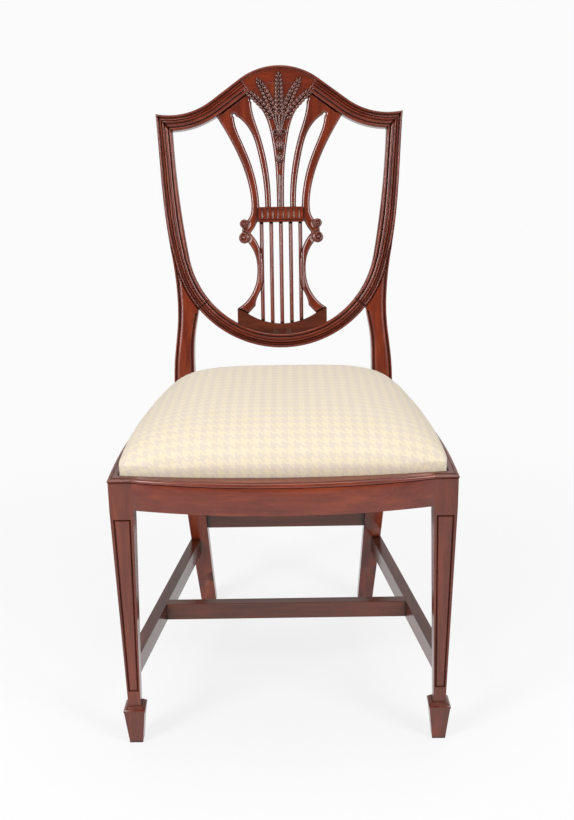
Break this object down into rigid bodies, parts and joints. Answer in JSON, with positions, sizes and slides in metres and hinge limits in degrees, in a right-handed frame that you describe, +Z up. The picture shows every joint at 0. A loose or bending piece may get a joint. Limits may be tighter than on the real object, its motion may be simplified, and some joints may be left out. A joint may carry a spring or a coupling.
{
  "type": "shield back dining chair",
  "caption": "Wooden dining chair with a raked shield-shaped back, a pierced lyre splat, spade-footed tapered front legs, stretchers and a lift-out upholstered seat.",
  "frame": {"origin": "on the floor, below the middle of the chair's bounding box", "axes": "+Z up, the chair's front faces -Y, +X is to the right as seen from the front"},
  "size_m": [0.5, 0.6077, 0.9955],
  "materials": {
    "mahogany": "glossy french polish",
    "beech": "bare, matt",
    "houndstooth_fabric": "woven, matt",
    "hair_stuffing": "matt",
    "hessian": "woven, matt",
    "jute_webbing": "woven, matt",
    "black_bottom_cloth": "matt",
    "steel_tacks": "blued",
    "steel_screws": "plain"
  },
  "bodies": {
    "frame": {"back_corner_block_left": "beech", "back_corner_block_right": "beech", "back_leg_left": "mahogany", "back_leg_right": "mahogany", "back_seat_bearer": "beech", "back_seat_rail": "mahogany", "bearer_screws": "steel_screws", "corner_block_screws": "steel_screws", "crest_rail": "mahogany", "cross_stretcher": "mahogany", "fluted_tablet": "mahogany", "front_corner_block_left": "beech", "front_corner_block_right": "beech", "front_leg_left": "mahogany", "front_leg_right": "mahogany", "front_seat_rail": "mahogany", "lower_shield_rail": "mahogany", "lunette": "mahogany", "lunette_dowels": "beech", "lyre_strings": "mahogany", "pierced_splat": "mahogany", "rear_stretcher": "mahogany", "side_seat_rail_left": "mahogany", "side_seat_rail_right": "mahogany", "side_stretcher_left": "mahogany", "side_stretcher_right": "mahogany"},
    "slip_seat": {"slip_frame_front": "beech", "slip_frame_back": "beech", "slip_frame_left": "beech", "slip_frame_right": "beech", "slip_frame_dowels": "beech", "webbing_lengthwise": "jute_webbing", "webbing_crosswise": "jute_webbing", "hessian": "hessian", "hair_stuffing": "hair_stuffing", "seat_cover": "houndstooth_fabric", "bottom_cloth": "black_bottom_cloth", "cover_tacks": "steel_tacks"}
  },
  "joints": [
    {"name": "seat_lift", "type": "slide", "parent": "frame", "child": "slip_seat", "axis": [0, 0, 1], "range_m": [0, 0.08]}
  ]
}
